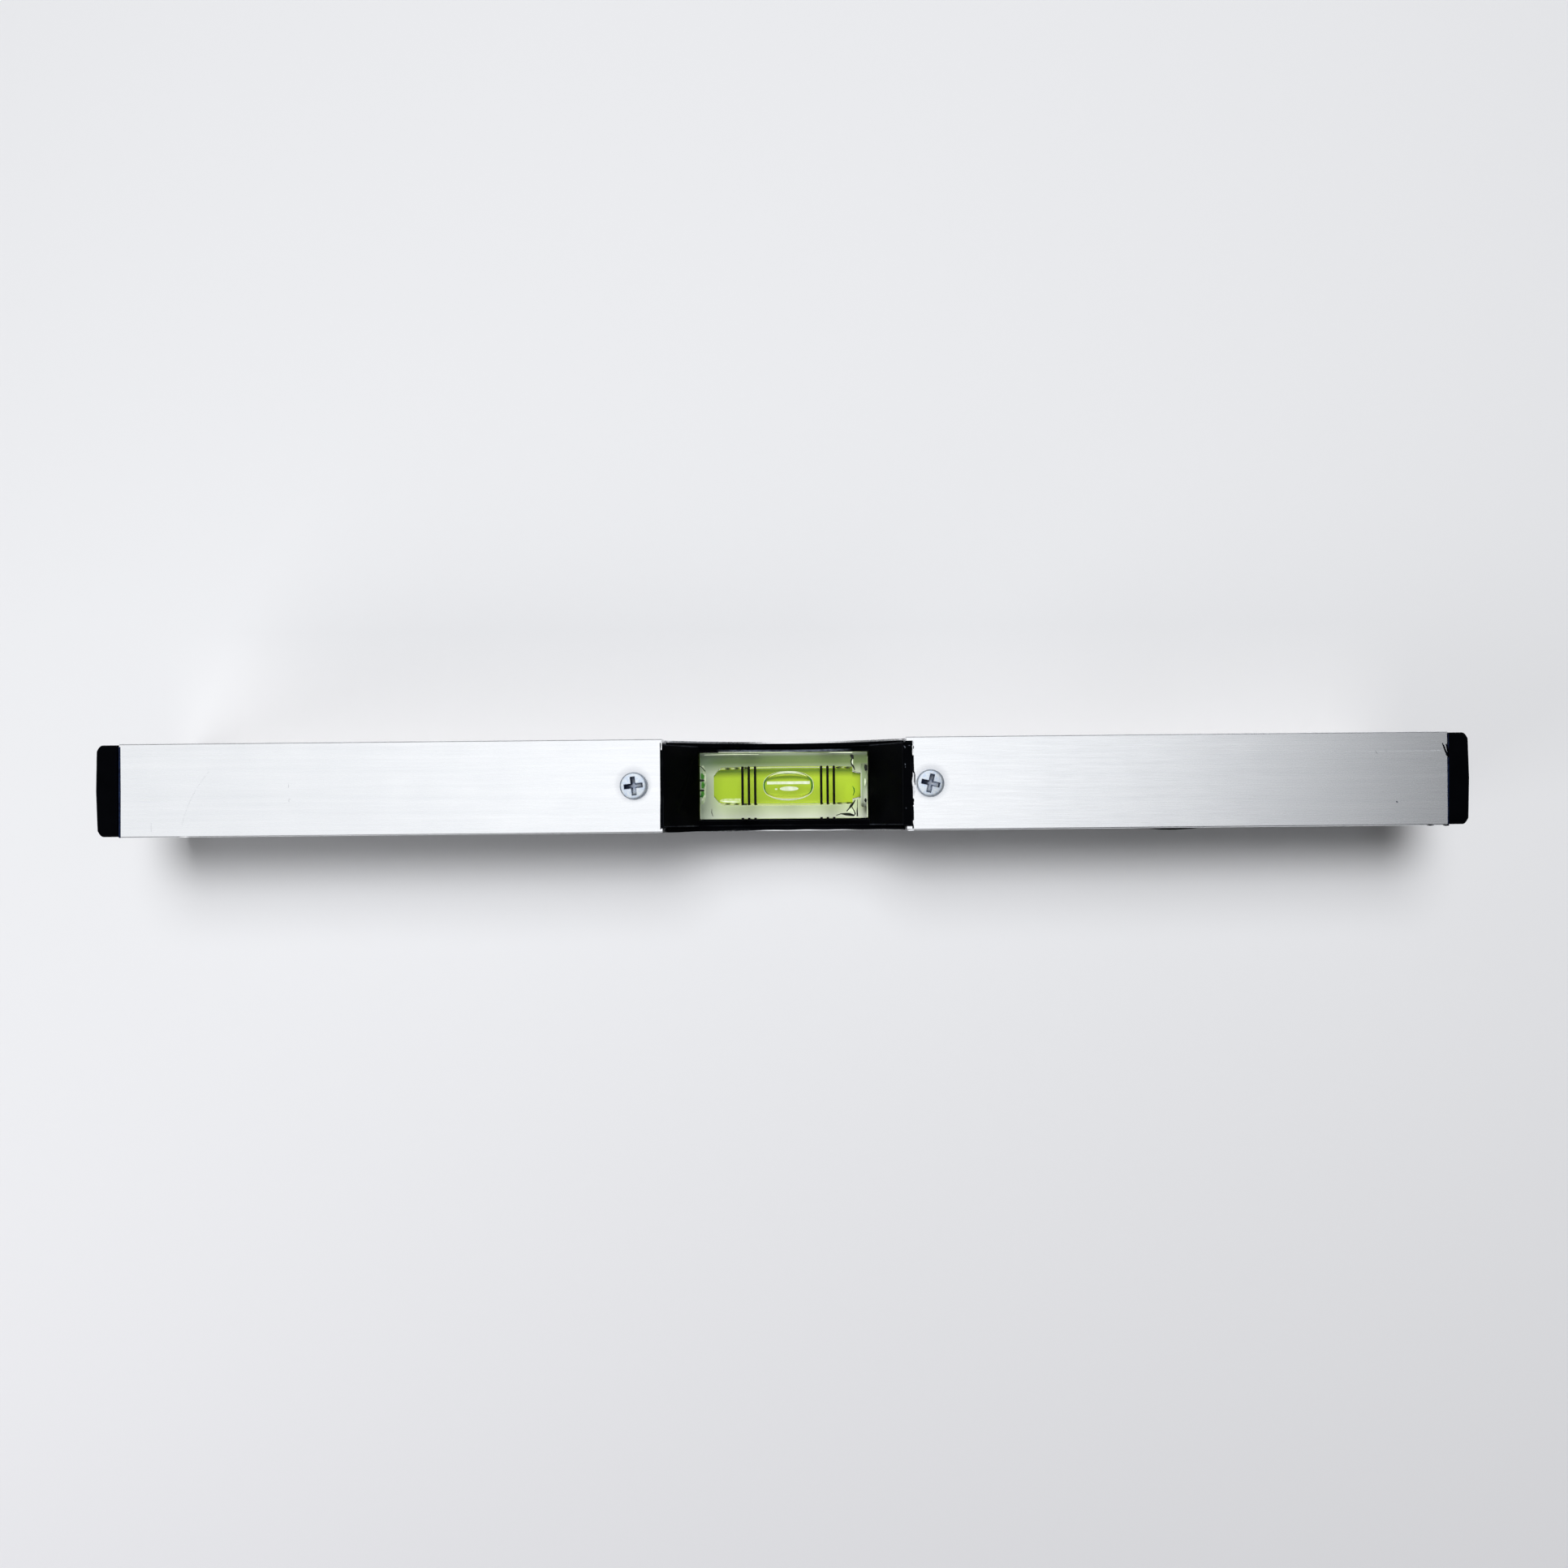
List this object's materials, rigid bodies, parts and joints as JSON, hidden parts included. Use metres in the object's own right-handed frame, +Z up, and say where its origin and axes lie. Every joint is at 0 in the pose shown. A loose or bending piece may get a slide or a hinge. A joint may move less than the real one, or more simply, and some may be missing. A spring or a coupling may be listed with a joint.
{
  "type": "magnetic spirit level",
  "caption": "Box-section spirit level with a block vial in a top window, a plumb vial through the side walls, end caps and magnets in the base.",
  "frame": {"origin": "middle of the footprint, on the plane that the base stands on", "axes": "+X along the level towards the plumb vial, +Y across it towards the back, +Z up"},
  "size_m": [0.3, 0.0216, 0.0518],
  "materials": {
    "brushed_aluminium": "brushed lengthwise, satin",
    "cap_plastic": "moulded, black, satin",
    "holder_plastic": "moulded, black, matte with fine specks",
    "white_plastic": "plain white",
    "clear_acrylic": "clear, polished",
    "lime_spirit": "lime green liquid",
    "air_bubble": "air, clear",
    "black_ink": "printed black",
    "zinc_plate": "zinc plated, bluish, bright",
    "nickel_plate": "nickel plated, satin"
  },
  "bodies": {
    "level": {"level_body": "brushed_aluminium", "end_cap_left": "cap_plastic", "end_cap_right": "cap_plastic", "vial_holder": "holder_plastic", "vial_reflector": "white_plastic", "vial_block": "clear_acrylic", "vial_plug": "clear_acrylic", "vial_liquid": "lime_spirit", "top_line_1": "black_ink", "top_line_2": "black_ink", "top_line_3": "black_ink", "top_line_4": "black_ink", "top_line_5": "black_ink", "top_line_6": "black_ink", "front_line_1": "black_ink", "front_line_2": "black_ink", "front_line_3": "black_ink", "front_line_4": "black_ink", "front_line_5": "black_ink", "front_line_6": "black_ink", "back_line_1": "black_ink", "back_line_2": "black_ink", "back_line_3": "black_ink", "back_line_4": "black_ink", "back_line_5": "black_ink", "back_line_6": "black_ink", "holder_screw_left": "zinc_plate", "holder_screw_right": "zinc_plate", "magnet_left": "nickel_plate", "magnet_right": "nickel_plate", "magnet_carrier_left": "holder_plastic", "magnet_carrier_right": "holder_plastic", "plumb_shell_front": "holder_plastic", "plumb_shell_back": "holder_plastic", "plumb_vial": "clear_acrylic", "plumb_plug": "clear_acrylic", "plumb_liquid": "lime_spirit", "plumb_line_upper": "black_ink", "plumb_line_lower": "black_ink"},
    "level_bubble": {"level_bubble": "air_bubble"},
    "plumb_bubble": {"plumb_bubble": "air_bubble"}
  },
  "joints": [
    {"name": "level_bubble_slide", "type": "slide", "parent": "level", "child": "level_bubble", "axis": [1, 0, 0], "range_m": [-0.0102, 0.0076]},
    {"name": "plumb_bubble_slide", "type": "slide", "parent": "level", "child": "plumb_bubble", "axis": [0, 0, 1], "range_m": [-0.0112, 0], "stiffness_N_per_m": 0.5, "springref_m": 0.03}
  ]
}
